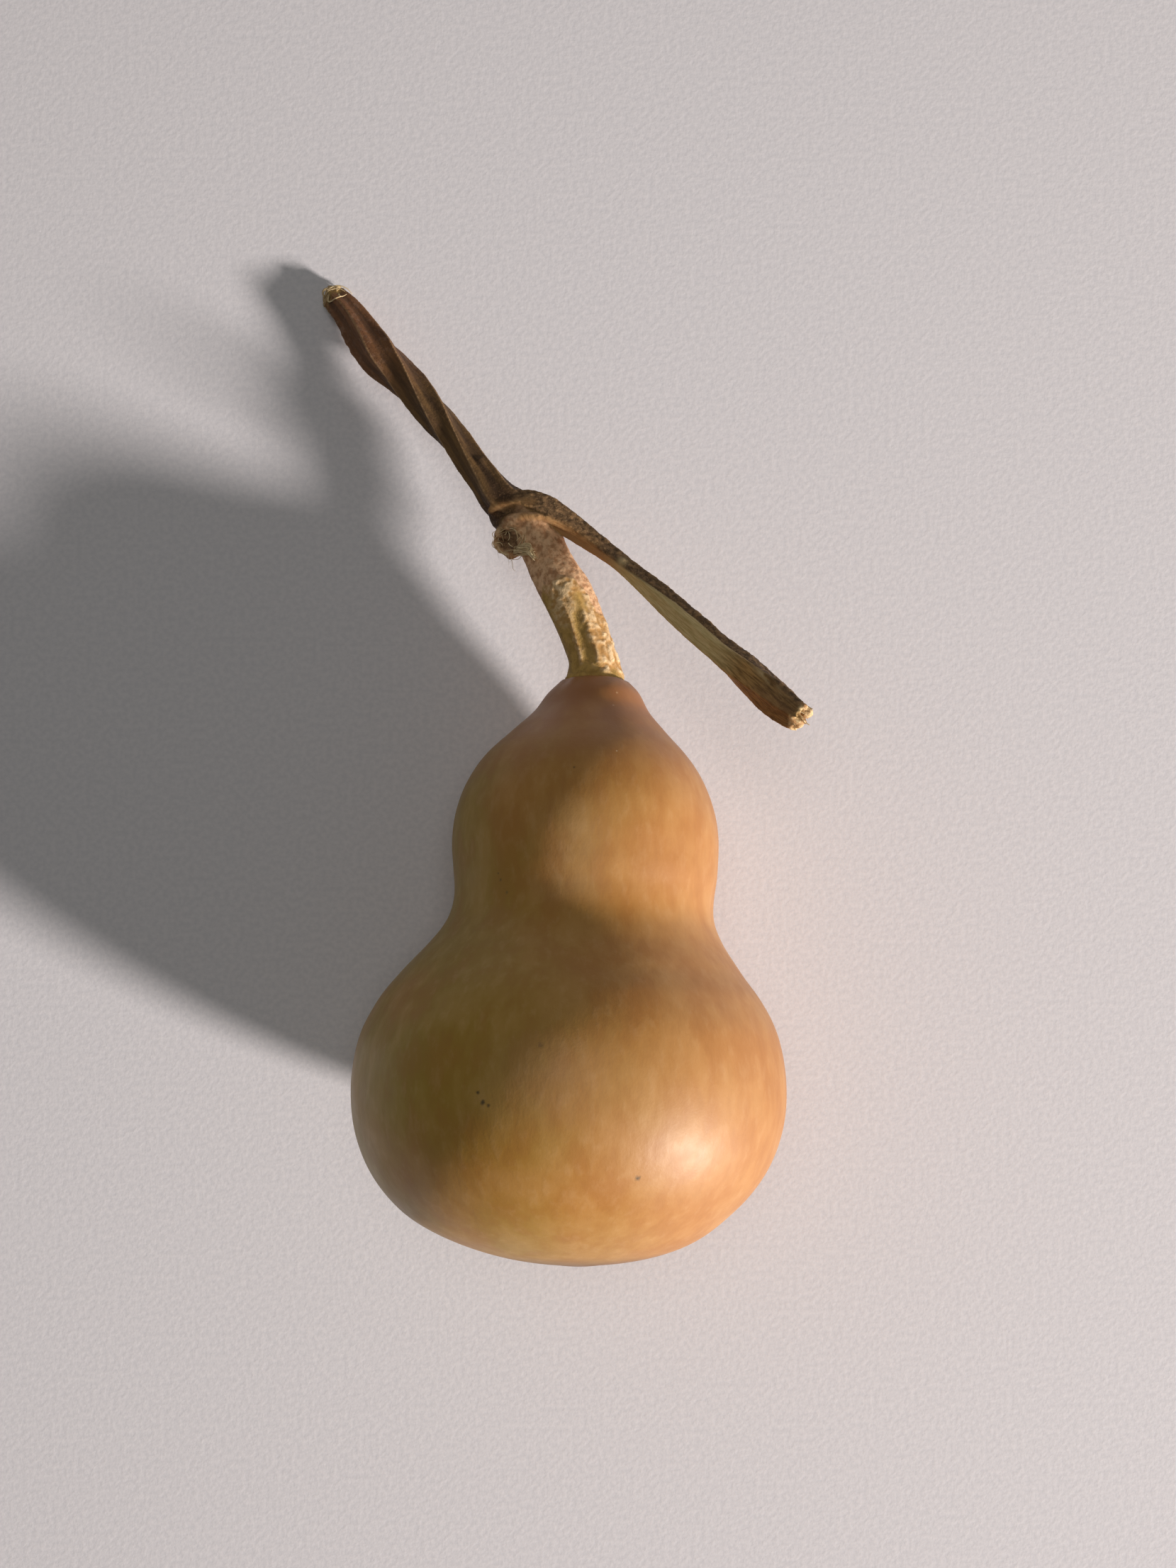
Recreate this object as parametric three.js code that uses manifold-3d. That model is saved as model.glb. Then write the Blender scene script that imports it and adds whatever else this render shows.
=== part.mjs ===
// A dried bottle gourd, as picked: the waisted fruit and the piece of woody vine that it hung from.
// Millimetres, +Z up. The gourd lies on its big bulb and on the left tip of the vine, stem towards +Y.
import * as THREE from 'three';
import { mergeVertices } from 'three/addons/utils/BufferGeometryUtils.js';
import Module from 'manifold-3d';

const wasm = await Module();
wasm.setup();

// The fruit, measured along its own axis from the blossom end.
const bulbRadius = 33.15;
const bulbStation = 26;
const blossomFullness = 2.2;
const fruitLength = 89.5;
const shoulderStations = [
  [33, 32.2], [38.5, 29.7], [43, 26.4], [47.5, 22.9], [51, 21], [54.5, 20.5], [59, 20.9], [64, 21.1],
  [68.5, 20.5], [73, 18.9], [77, 16.4], [81, 12.7], [84.5, 9.5], [87.6, 7.7],
];
const crownRadius = 6;
const fruitSides = 40;
const domeSteps = 13;
const shoulderSteps = 26;

// How the fruit lies: the stem end hangs lower, and the underside has one flat rest spot at z = 0.
const fruitTilt = THREE.MathUtils.degToRad(11);
const blossomEnd = new THREE.Vector3(-2.9, -71.8, 37.1);

// Sideways drift of the fruit's axis: the small bulb and the crown stand a little right of the big bulb.
const waistDrift = 2.45;
const crownDrift = 1.35;
const blossomDrift = 1.6;

// The stem: the stalk of the fruit, the node, and the two arms of the vine that leave the node.
const abscissionGap = 0.3;
const stalkRoute = [
  [0.6, 20.3, 19.7], [-0.5, 23.9, 19.1], [-1.9, 27.5, 18.5], [-3.45, 31, 17.9], [-5.35, 34.4, 17.2],
  [-7, 38, 16.5], [-8.5, 41.5, 15.9], [-10.4, 45, 15.4],
];
const stalkRadii = [5, 4, 3.85, 4, 4.1, 3.85, 3.7, 3.65, 3.4];
const leftRoute = [
  [-10, 44.6, 15.6], [-14.2, 47.1, 15.1], [-17.2, 51, 14.1], [-20.2, 54.9, 12.9], [-23.1, 58.8, 11.7],
  [-26.1, 62.7, 10.6], [-29.3, 66.5, 9.3], [-32.5, 70.2, 8], [-36, 74, 6.4], [-39.3, 78.4, 4.6],
  [-42.2, 82.5, 2.9], [-44.5, 85.1, 1.7],
];
const leftRadii = [3, 3, 2.6, 2.35, 2.35, 2.55, 2.65, 2.8, 3.2, 2.85, 2.5, 2];
const rightRoute = [
  [-14.2, 46.6, 15.7], [-11.1, 46.2, 16.6], [-7.9, 45.3, 17.3], [-4, 43.1, 18.1], [0.1, 39.9, 19.4],
  [4.3, 36.5, 21.3], [8.2, 32.8, 23.8], [11.9, 29, 26.7], [18.8, 21.7, 32.8], [25.45, 15, 38.9],
  [28.65, 11.65, 42], [31.05, 9.5, 44.2],
];
const rightRadii = [1.8, 2.3, 2, 1.6, 1.4, 1.6, 1.85, 2, 2.05, 2.35, 2.5, 2];
const ribCount = 5;
const sidesPerRib = 4;

// The swollen node where the stalk and both arms meet.
const nodeCentre = new THREE.Vector3(-13.4, 45, 14.6);
const nodeRadii = new THREE.Vector3(3.1, 3.4, 3);

// Strands that stand out of the node: a web in the fork of the two arms, and the ridge that runs from
// above the scar into the right arm's lower edge.
const webRoute = [
  [-19, 54.2, 14.3], [-17.2, 51.7, 15], [-15.1, 49.4, 15.5], [-12.6, 47.6, 16], [-9.9, 46.1, 16.4],
];
const webRadii = [0.4, 1, 1.1, 1.1, 0.9];
const ridgeRoute = [
  [-15.6, 42.6, 15.8], [-13.7, 43.2, 17.5], [-11.3, 43.5, 18.8], [-8.8, 43.5, 19.5], [-6.6, 43, 19.7],
  [-4.6, 42.1, 19.6], [-2.15, 40.8, 19.7], [1.2, 38.7, 20.5],
];
const ridgeRadii = [0.4, 0.8, 0.8, 0.8, 0.7, 0.5];

// The scar that a leaf stalk left on the node: a short collar with a hollow, frayed mouth.
const scarFoot = new THREE.Vector3(-11.3, 41.8, 13.4);
const scarMouth = new THREE.Vector3(-12.8, 39.8, 17.5);
const scarRadius = 3;

// Torn fibres at the two cut ends and round the scar.
const fibreSeed = 41;
const fibreRadius = 0.34;
const fibreRoot = 1.2;

// Where the middle of the whole gourd's box falls, so that the origin stands under it.
const boxMiddle = new THREE.Vector3(-6.53, 7.12, 0);

const skin = new THREE.MeshStandardMaterial({ name: 'rind', color: '#b9843f', roughness: 0.5, metalness: 0 });
const bark = new THREE.MeshStandardMaterial({ name: 'vine', color: '#6d4c2f', roughness: 0.85, metalness: 0 });

function toSolid(geometry) {
  const bare = geometry.clone();
  for (const name of ['normal', 'uv']) {
    bare.deleteAttribute(name);
  }
  const merged = mergeVertices(bare, 1e-5);
  const mesh = new wasm.Mesh({
    numProp: 3,
    vertProperties: new Float32Array(merged.attributes.position.array),
    triVerts: new Uint32Array(merged.index.array),
  });
  return new wasm.Manifold(mesh);
}

function toGeometry(solid) {
  const mesh = solid.getMesh();
  const geometry = new THREE.BufferGeometry();
  geometry.setAttribute('position', new THREE.BufferAttribute(new Float32Array(mesh.vertProperties), 3));
  geometry.setIndex(new THREE.BufferAttribute(new Uint32Array(mesh.triVerts), 1));
  geometry.computeVertexNormals();
  return geometry;
}

// A value read from an evenly spaced list, eased from one entry to the next.
function alongList(list, fraction) {
  const place = fraction * (list.length - 1);
  const first = Math.min(Math.floor(place), list.length - 2);
  const step = THREE.MathUtils.smoothstep(place - first, 0, 1);
  return THREE.MathUtils.lerp(list[first], list[first + 1], step);
}

// A repeatable draw between 0 and 1.
function seededDraw(seed) {
  let state = seed;
  return () => {
    state = (state * 16807) % 2147483647;
    return state / 2147483647;
  };
}

// Radius of the blossom-end dome, a fuller curve than a circle's.
function domeRadius(station) {
  const inward = 1 - station / bulbStation;
  return bulbRadius * (1 - inward ** blossomFullness) ** (1 / blossomFullness);
}

function axisDrift(station) {
  const waist = waistDrift * THREE.MathUtils.smoothstep(station, 40, 58);
  const crown = crownDrift * THREE.MathUtils.smoothstep(station, 76, fruitLength);
  const blossom = blossomDrift * (1 - THREE.MathUtils.smoothstep(station, 0, 8));
  return waist + crown + blossom;
}

function fruitProfile() {
  const profile = [new THREE.Vector2(0, 0)];
  for (let i = 1; i <= domeSteps; i += 1) {
    const station = bulbStation * (1 - Math.cos((Math.PI / 2) * (i / domeSteps)));
    profile.push(new THREE.Vector2(domeRadius(station), station));
  }
  const ends = [[bulbStation, bulbRadius], ...shoulderStations, [fruitLength, crownRadius]];
  const shoulder = new THREE.SplineCurve(ends.map(([station, radius]) => new THREE.Vector2(radius, station)));
  profile.push(...shoulder.getSpacedPoints(shoulderSteps).slice(1));
  profile.push(new THREE.Vector2(0, fruitLength));
  return profile;
}

// What rests is cut flat at the ground, z = 0.
function aboveGround(solid) {
  const room = new THREE.BoxGeometry(300, 300, 100).translate(0, 0, 50);
  return solid.intersect(toSolid(room));
}

function makeFruit() {
  const geometry = new THREE.LatheGeometry(fruitProfile(), fruitSides);
  const places = geometry.attributes.position;
  for (let i = 0; i < places.count; i += 1) {
    places.setX(i, places.getX(i) + axisDrift(places.getY(i)));
  }
  geometry.rotateX(-fruitTilt);
  geometry.translate(...blossomEnd);
  return aboveGround(toSolid(geometry));
}

// A ribbed limb: a closed cylinder whose rings are carried along a curve and swelled by the radii.
// Each rib is a crest with a hollow beside it, and the ribs turn as they go, as a climbing stem's do.
function makeLimb(points, radii, { ribDepth, turn, steps, swell }) {
  const curve = new THREE.CatmullRomCurve3(points, false, 'centripetal');
  const geometry = new THREE.CylinderGeometry(1, 1, 1, ribCount * sidesPerRib, steps);
  const places = geometry.attributes.position;
  const spot = new THREE.Vector3();
  for (let i = 0; i < places.count; i += 1) {
    spot.fromBufferAttribute(places, i);
    const fraction = THREE.MathUtils.clamp(spot.y + 0.5, 0, 1);
    const angle = Math.atan2(spot.z, spot.x);
    const reach = Math.hypot(spot.x, spot.z);
    const along = curve.getTangentAt(fraction);
    const side = new THREE.Vector3().crossVectors(along, new THREE.Vector3(0, 0, 1)).normalize();
    const up = new THREE.Vector3().crossVectors(side, along);
    const rib = 1 - Math.abs(Math.sin((ribCount / 2) * angle));
    const turned = angle + turn(fraction);
    const radius = alongList(radii, fraction) * (1 + ribDepth * (rib - 0.4)) + swell(fraction, turned);
    spot.copy(curve.getPointAt(fraction));
    spot.addScaledVector(side, reach * radius * Math.cos(turned));
    spot.addScaledVector(up, reach * radius * Math.sin(turned));
    places.setXYZ(i, spot.x, spot.y, spot.z);
  }
  return toSolid(geometry);
}

const noSwell = () => 0;

function stalkPoints() {
  const axis = new THREE.Vector3(0, Math.cos(fruitTilt), -Math.sin(fruitTilt));
  const foot = blossomEnd.clone().addScaledVector(axis, fruitLength + abscissionGap);
  foot.x += axisDrift(fruitLength);
  const squareStart = foot.clone().addScaledVector(axis, 1.6);
  return [foot, squareStart, ...stalkRoute.map((point) => new THREE.Vector3(...point))];
}

function makeStalk() {
  const turn = (fraction) => 0.35 * fraction;
  return makeLimb(stalkPoints(), stalkRadii, { ribDepth: 0.07, turn, steps: 22, swell: noSwell });
}

// The left arm is twisted by half a turn, and carries a torn wing of bark near its tip.
function makeLeftArm() {
  const turn = (fraction) => 0.89 - 3.05 * THREE.MathUtils.smoothstep(fraction, 0.05, 0.9);
  const wing = (fraction, angle) => {
    const near = Math.exp(-(((fraction - 0.77) / 0.06) ** 2));
    return 0.5 * near * Math.max(0, -Math.cos(angle + 0.2)) ** 3;
  };
  const points = leftRoute.map((point) => new THREE.Vector3(...point));
  return makeLimb(points, leftRadii, { ribDepth: 0.26, turn, steps: 36, swell: wing });
}

function makeRightArm() {
  const points = rightRoute.map((point) => new THREE.Vector3(...point));
  const turn = (fraction) => 0.5 * fraction + 0.7 * THREE.MathUtils.smoothstep(fraction, 0.68, 1);
  return makeLimb(points, rightRadii, { ribDepth: 0.24, turn, steps: 40, swell: noSwell });
}

function makeStrand(route, radii) {
  const points = route.map((point) => new THREE.Vector3(...point));
  return makeLimb(points, radii, { ribDepth: 0, turn: () => 0, steps: 14, swell: noSwell });
}

function makeNode() {
  const geometry = new THREE.SphereGeometry(1, 20, 12);
  geometry.scale(...nodeRadii);
  geometry.translate(...nodeCentre);
  return toSolid(geometry);
}

function makeScar() {
  const height = scarMouth.distanceTo(scarFoot);
  const profile = [
    [0, -1], [1.9, -1], [2.5, 0.45 * height], [scarRadius, height], [scarRadius - 0.7, height + 0.1],
    [1.3, height - 1.3], [0, height - 1.5],
  ].map(([radius, level]) => new THREE.Vector2(radius, level));
  const geometry = new THREE.LatheGeometry(profile, 18);
  const axis = scarMouth.clone().sub(scarFoot).normalize();
  const turn = new THREE.Quaternion().setFromUnitVectors(new THREE.Vector3(0, 1, 0), axis);
  geometry.applyQuaternion(turn);
  geometry.translate(...scarFoot);
  return toSolid(geometry);
}

// One torn fibre: a four-sided spike, its root sunk in the wood, its tip drooping towards the bend.
function makeFibre(place, heading, length, droop) {
  const geometry = new THREE.ConeGeometry(fibreRadius, length + fibreRoot, 4, 3);
  geometry.translate(0, (length + fibreRoot) / 2 - fibreRoot, 0);
  const turn = new THREE.Quaternion().setFromUnitVectors(new THREE.Vector3(0, 1, 0), heading);
  const spots = geometry.attributes.position;
  const spot = new THREE.Vector3();
  for (let i = 0; i < spots.count; i += 1) {
    spot.fromBufferAttribute(spots, i);
    const out = Math.max(0, spot.y);
    spot.applyQuaternion(turn).add(place);
    spot.addScaledVector(droop, out * out / length);
    spots.setXYZ(i, spot.x, spot.y, spot.z);
  }
  return toSolid(geometry);
}

// Fibres round a torn end: they leave a ring of the given radius, lean outwards and droop a little.
function makeFray(centre, heading, { ring, inner, count, length, spread, draw }) {
  const side = new THREE.Vector3().crossVectors(heading, new THREE.Vector3(0, 0, 1)).normalize();
  const up = new THREE.Vector3().crossVectors(side, heading);
  const fibres = [];
  for (let i = 0; i < count; i += 1) {
    const angle = (2 * Math.PI * (i + 0.6 * draw())) / count;
    const outward = side.clone().multiplyScalar(Math.cos(angle)).addScaledVector(up, Math.sin(angle));
    const place = centre.clone().addScaledVector(outward, ring * THREE.MathUtils.lerp(inner, 1, draw()));
    const lean = heading.clone().addScaledVector(outward, spread * (draw() - 0.2)).normalize();
    const droop = outward.clone().multiplyScalar(0.5 * (draw() - 0.5));
    fibres.push(makeFibre(place, lean, length * (0.4 + 0.6 * draw()), droop));
  }
  return fibres;
}

function endHeading(route) {
  const [last, before] = [route.at(-1), route.at(-2)].map((point) => new THREE.Vector3(...point));
  return last.sub(before).normalize();
}

function makeStem() {
  const draw = seededDraw(fibreSeed);
  const leftTip = new THREE.Vector3(...leftRoute.at(-1));
  const rightTip = new THREE.Vector3(...rightRoute.at(-1));
  const scarHeading = scarMouth.clone().sub(scarFoot).normalize();
  const fibres = [
    ...makeFray(leftTip, endHeading(leftRoute), { ring: 1.4, inner: 0.4, count: 9, length: 1.5, spread: 0.7, draw }),
    ...makeFray(rightTip, endHeading(rightRoute), { ring: 1.5, inner: 0.3, count: 12, length: 3, spread: 0.5, draw }),
    ...makeFray(scarMouth, scarHeading, { ring: 2.7, inner: 0.86, count: 16, length: 1.6, spread: 1.3, draw }),
  ];
  const strands = [makeStrand(webRoute, webRadii), makeStrand(ridgeRoute, ridgeRadii)];
  let stem = makeStalk();
  for (const piece of [makeNode(), makeLeftArm(), makeRightArm(), makeScar(), ...strands, ...fibres]) {
    stem = stem.add(piece);
  }
  return aboveGround(stem);
}

function addNode(group, name, solid, material) {
  const geometry = toGeometry(solid);
  geometry.translate(...boxMiddle.clone().negate());
  const mesh = new THREE.Mesh(geometry, material);
  mesh.name = name;
  group.add(mesh);
}

const gourd = new THREE.Group();
addNode(gourd, 'gourd_fruit', makeFruit(), skin);
addNode(gourd, 'vine_stem', makeStem(), bark);

export default gourd;
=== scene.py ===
# %% [markdown]
# # A dried bottle gourd with its piece of vine
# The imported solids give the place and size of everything. They come in first, as a fixed frame, and
# each solid is then covered by a finer surface that keeps its form: the rind of the fruit, the bark of
# the stem, and the torn fibres at the ends of the vine.

# %% Load the frame
import math
import bpy
import numpy as np
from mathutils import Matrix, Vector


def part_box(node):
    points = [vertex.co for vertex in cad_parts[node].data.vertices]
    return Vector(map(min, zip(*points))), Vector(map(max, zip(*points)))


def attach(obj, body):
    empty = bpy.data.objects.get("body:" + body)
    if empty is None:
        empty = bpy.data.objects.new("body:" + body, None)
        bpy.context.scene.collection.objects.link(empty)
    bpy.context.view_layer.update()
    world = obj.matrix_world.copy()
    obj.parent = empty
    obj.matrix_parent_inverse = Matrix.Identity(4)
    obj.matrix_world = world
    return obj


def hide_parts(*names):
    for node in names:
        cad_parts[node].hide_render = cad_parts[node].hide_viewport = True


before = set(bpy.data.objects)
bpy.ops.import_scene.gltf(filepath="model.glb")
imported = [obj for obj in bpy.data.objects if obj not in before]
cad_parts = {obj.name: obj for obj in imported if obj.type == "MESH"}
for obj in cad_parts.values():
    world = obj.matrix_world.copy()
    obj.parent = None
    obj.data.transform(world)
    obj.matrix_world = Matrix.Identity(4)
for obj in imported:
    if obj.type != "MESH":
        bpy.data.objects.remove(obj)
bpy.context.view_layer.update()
fruit_low, fruit_high = (np.array(corner) * 1000 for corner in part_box("gourd_fruit"))
stem_low, stem_high = (np.array(corner) * 1000 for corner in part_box("vine_stem"))
print("fruit box in mm:", fruit_low.round(2), fruit_high.round(2))

# %% [markdown]
# The routes and radii below are the ones that the solids were made from, in millimetres, measured from
# the point of the surface under the middle of the picture. The row's own origin stands under the middle
# of the whole box, so every point is moved by `box_middle`, and a mesh is made in metres at the very end.

# %% Units and origin
box_middle = np.array([-6.53, 7.12, 0.0])
MM = 0.001


def to_row(points):
    """Points measured from the middle of the picture, as millimetres from the row's origin."""
    return np.asarray(points, float) - box_middle


def new_object(name, data):
    """An object with this camera, lamp or mesh as its data, linked into the scene."""
    thing = bpy.data.objects.new(name, data)
    bpy.context.scene.collection.objects.link(thing)
    return thing


print("the picture's middle, from the row's origin:", to_row([0, 0, 0]))

# %% [markdown]
# The camera looks straight down from a quarter of a metre, as a phone held over a table does. That is
# close, so the near bulb looks larger than the neck, and a longer lens from further away would lose it.
# The lens is to the sensor as the height is to the table's stretch that the picture shows.

# %% Camera
camera_height = 250.0
picture_rows = 2212
mm_per_row = 0.125
height_in_rows = camera_height / mm_per_row
camera_data = bpy.data.cameras.new("table_camera")
camera_data.sensor_width = 36.0
camera_data.lens = camera_data.sensor_width * height_in_rows / picture_rows
camera_data.clip_start = 0.01
camera = new_object("table_camera", camera_data)
camera.location = to_row([0, 0, camera_height]) * MM
bpy.context.scene.camera = camera
print("lens in mm:", round(camera_data.lens, 2))

# %% [markdown]
# Plain studio light: a soft key lamp stands low at the lower right, so that the bulbs and the ribs
# are modelled by a slow change from light to shade, and a wide weak lamp overhead fills that shade.
# The Standard view shows a colour as it was picked, where the default view would grey the tans.

# %% Lights


def linear(hex_colour):
    """An sRGB hex colour as the linear red, green, blue and alpha that the shaders read."""
    parts = np.array([int(hex_colour[i:i + 2], 16) for i in (1, 3, 5)]) / 255
    bright = ((parts + 0.055) / 1.055) ** 2.4
    return (*np.where(parts <= 0.04045, parts / 12.92, bright).tolist(), 1.0)


def add_lamp(name, azimuth, elevation, distance, size, power, hex_colour):
    """An area lamp on a sphere round the gourd's middle, facing that middle. Angles in degrees."""
    across, up = math.radians(azimuth), math.radians(elevation)
    away = np.array([math.cos(up) * math.cos(across), math.cos(up) * math.sin(across), math.sin(up)])
    data = bpy.data.lights.new(name, "AREA")
    data.shape = "DISK"
    data.size = size
    data.energy = power
    data.color = linear(hex_colour)[:3]
    lamp = new_object(name, data)
    middle = np.array([0.0, -0.02, 0.02])
    lamp.location = middle + away * distance
    lamp.rotation_euler = (math.pi / 2 - up, 0, across + math.pi / 2)
    print("lamp in m:", name, np.round(lamp.location, 3))


add_lamp("key_lamp", -32, 21, 2.0, 0.26, 60.0, "#fff3e8")
add_lamp("fill_lamp", 90, 80, 0.55, 0.25, 0.45, "#fffaf0")
world = bpy.data.worlds.new("pale_room")
world.use_nodes = True
world.node_tree.nodes["Background"].inputs["Color"].default_value = linear("#fbf8ee")
world.node_tree.nodes["Background"].inputs["Strength"].default_value = 0.075
bpy.context.scene.world = world
bpy.context.scene.view_settings.view_transform = "Standard"

# %% [markdown]
# Every shape here is a sheet of points, worked out as whole arrays: one row of points for each step
# along the piece, and each row goes once round it. The helper closes the sheet round the piece and
# closes both ends with a fan, so that what comes out is one closed skin whose faces point outwards.

# %% Mesh from a grid of points


def new_piece(name, points, faces):
    """A mesh object in metres, at the origin, from points in millimetres and lists of vertex numbers."""
    mesh = bpy.data.meshes.new(name)
    mesh.from_pydata((np.asarray(points) * MM).tolist(), [], faces)
    mesh.update()
    return new_object(name, mesh)


def store(piece, name, values):
    """Keeps a number or a vector for each point of the piece, under a name that its material reads."""
    kind, key = ("FLOAT", "value") if values.ndim == 1 else ("FLOAT_VECTOR", "vector")
    piece.data.attributes.new(name, kind, "POINT").data.foreach_set(key, values.ravel())


def closed_grid(rows):
    """Vertices and faces of a skin whose rows (n, m, 3) each go round, with a fan over either end."""
    n, m = rows.shape[:2]
    step, turn = np.meshgrid(np.arange(n - 1), np.arange(m), indexing="ij")
    after = (turn + 1) % m
    quads = np.stack([step * m + turn, step * m + after, (step + 1) * m + after, (step + 1) * m + turn], -1)
    around = np.arange(m)
    first, last = n * m, n * m + 1
    start_fan = np.stack([np.full(m, first), (around + 1) % m, around], -1)
    end_fan = np.stack([np.full(m, last), (n - 1) * m + around, (n - 1) * m + (around + 1) % m], -1)
    points = np.vstack([rows.reshape(-1, 3), rows[0].mean(0), rows[-1].mean(0)])
    return points, quads.reshape(-1, 4).tolist() + start_fan.tolist() + end_fan.tolist()


def smooth_through(knots, count):
    """count points on a Catmull-Rom curve: between two knots, the cubic whose slope at each knot is
    half the step from the knot before it to the knot after it."""
    knots = np.asarray(knots, float)
    padded = np.vstack([2 * knots[0] - knots[1], knots, 2 * knots[-1] - knots[-2]])
    place = np.linspace(0, len(knots) - 1, count)
    first = np.minimum(place.astype(int), len(knots) - 2)
    t = (place - first)[:, None]
    a, b, c, d = (padded[first + k] for k in range(4))
    return 0.5 * (2 * b + (c - a) * t + (2 * a - 5 * b + 4 * c - d) * t**2 + (3 * b - a - 3 * c + d) * t**3)


def circle(sides):
    """Even angles once round, in radians."""
    return np.linspace(0, 2 * math.pi, sides, endpoint=False)


def unit(vectors):
    """Each vector divided by its length."""
    return vectors / np.linalg.norm(vectors, axis=-1, keepdims=True)


def spokes(side, up, angle):
    """Directions square to an axis: side times the cosine plus up times the sine."""
    return side * np.cos(angle)[..., None] + up * np.sin(angle)[..., None]


def ease(low, high, value):
    """0 below low and 1 above high, with the curve 3t^2 - 2t^3 between them."""
    t = np.clip((value - low) / (high - low), 0, 1)
    return t * t * (3 - 2 * t)


# %% [markdown]
# Real skins are never quite regular. `cloud` is a soft random field for moving points: random values on
# a cube of lattice points, blended between neighbours. It is seeded, so each run gives the same gourd.

# %% A soft random field
lattice_side = 32


def cloud(points, size, seed):
    """Smooth random values from -1 to 1 that change over about `size` millimetres."""
    values = np.random.default_rng(seed).uniform(-1, 1, (lattice_side,) * 3)
    place = np.asarray(points) / size + 0.37
    cell = np.floor(place).astype(int)
    t = place - cell
    t = t * t * (3 - 2 * t)
    total = np.zeros(len(place))
    for corner in np.ndindex(2, 2, 2):
        share = np.prod(np.where(corner, t, 1 - t), axis=1)
        x, y, z = ((cell + corner) % lattice_side).T
        total += share * values[x, y, z]
    return total


# %% [markdown]
# The fruit hangs from its crown while it grows, so it is round about one axis: a full dome at the
# blossom end, a big bulb, a waist, a small bulb and a narrow crown. A surface turned from that profile
# is the natural way to make it. The real one is a little uneven, so the axis drifts sideways and a
# random field of up to about two tenths of a millimetre is added along the radius.

# %% Fruit: the profile
bulb_radius = 33.15
bulb_station = 26.0
blossom_fullness = 2.2
fruit_length = 89.5
shoulder_stations = [
    (33, 32.2), (38.5, 29.7), (43, 26.4), (47.5, 22.9), (51, 21), (54.5, 20.5), (59, 20.9), (64, 21.1),
    (68.5, 20.5), (73, 18.9), (77, 16.4), (81, 12.7), (84.5, 9.5), (87.6, 7.7),
]
crown_radius = 6.0
fruit_steps, fruit_sides = 300, 270


def fruit_radius(station):
    """The dome's radius is R (1 - (1 - s/a)^p)^(1/p), and past the widest ring a curve through stations."""
    inward = np.clip(1 - station / bulb_station, 0, 1)
    dome = bulb_radius * (1 - inward**blossom_fullness) ** (1 / blossom_fullness)
    before = (19, 32.3)
    knots = [before, (bulb_station, bulb_radius), *shoulder_stations, (fruit_length, crown_radius)]
    curve = smooth_through(knots, 800)
    return np.where(station < bulb_station, dome, np.interp(station, curve[:, 0], curve[:, 1]))


quarter = np.linspace(0, math.pi / 2, fruit_steps // 3)
dome_stations = bulb_station * (1 - np.cos(quarter[1:]))
stations = np.concatenate([dome_stations, np.linspace(bulb_station, fruit_length, 2 * fruit_steps // 3)[1:]])
print("stations along the fruit:", len(stations))

# %% [markdown]
# The skin is that profile turned round the axis: a ring of points at every station. The lumps and the
# crown's puckers change each ring's radius, the blossom end is dimpled, and the whole fruit then leans
# as it lies. A point's place before the lean is kept too, since the colours follow it.

# %% Fruit: the skin
fruit_tilt = math.radians(11)
blossom_end = np.array([-2.9, -71.8, 37.1])
waist_drift, crown_drift = 2.45, 1.35
lump_height = 0.22
pucker_depth = 0.16


def fruit_skin():
    """Rows of points at radius r(s) plus lumps, round an axis that drifts sideways and leans by the tilt."""
    s, angle = np.meshgrid(stations, circle(fruit_sides), indexing="ij")
    around = np.stack([np.cos(angle), np.zeros_like(s), np.sin(angle)], -1)
    radius = fruit_radius(s)
    flat = (around * radius[..., None] + np.stack([0 * s, s, 0 * s], -1)).reshape(-1, 3)
    lumps = 0.7 * cloud(flat, 17, 3) + 0.3 * cloud(flat, 6, 4)
    fade = ease(0, 6, s) * (1 - ease(84, 89, s))
    radius = radius - 0.08 + lump_height * lumps.reshape(s.shape) * fade
    folds = np.sin(11 * angle + 2 * np.sin(3 * angle)) * ease(84.5, fruit_length, s)
    radius = radius - pucker_depth * (0.5 + 0.5 * folds) * ease(84.5, fruit_length, s)
    drift = waist_drift * ease(40, 58, s) + crown_drift * ease(76, fruit_length, s) + 1.6 * (1 - ease(0, 8, s))
    dimple = 0.9 * np.exp(-((radius / 2.6) ** 2)) - 0.35 * np.exp(-(((radius - 3.6) / 1.1) ** 2))
    own = around * radius[..., None] + np.stack([drift, s + dimple * (s < 5), 0 * s], -1)
    own_place = own.reshape(-1, 3)
    lean = np.array([[1, 0, 0], [0, math.cos(fruit_tilt), math.sin(fruit_tilt)],
                     [0, -math.sin(fruit_tilt), math.cos(fruit_tilt)]])
    return own, to_row(own_place @ lean.T + blossom_end).reshape(own.shape)


own_rows, fruit_rows = fruit_skin()
fruit_rows = np.clip(fruit_rows, fruit_low, fruit_high)
points, faces = closed_grid(fruit_rows[:, ::-1])
rind = new_piece("gourd_rind", points, faces)
own_points, _ = closed_grid(own_rows[:, ::-1])
store(rind, "own_place", own_points)
rind.data.shade_smooth()
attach(rind, "root")
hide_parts("gourd_fruit")
print("rind faces:", len(faces))

# %% [markdown]
# A material is a small graph of nodes. One helper adds any node with its settings, its fixed values and
# its links, so that a recipe reads from top to bottom as a list of what goes into what. A socket knows
# the graph that it belongs to as its `id_data`, so the mixing helpers need only the sockets.

# %% Node helper


def add(tree, kind, values=None, links=None, **settings):
    """Adds a ShaderNode of this kind, with its settings, socket values and links, and returns it."""
    node = tree.nodes.new("ShaderNode" + kind)
    for name, value in settings.items():
        setattr(node, name, value)
    for socket, value in (values or {}).items():
        node.inputs[socket].default_value = value
    for socket, source in (links or {}).items():
        tree.links.new(source, node.inputs[socket])
    return node


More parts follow.
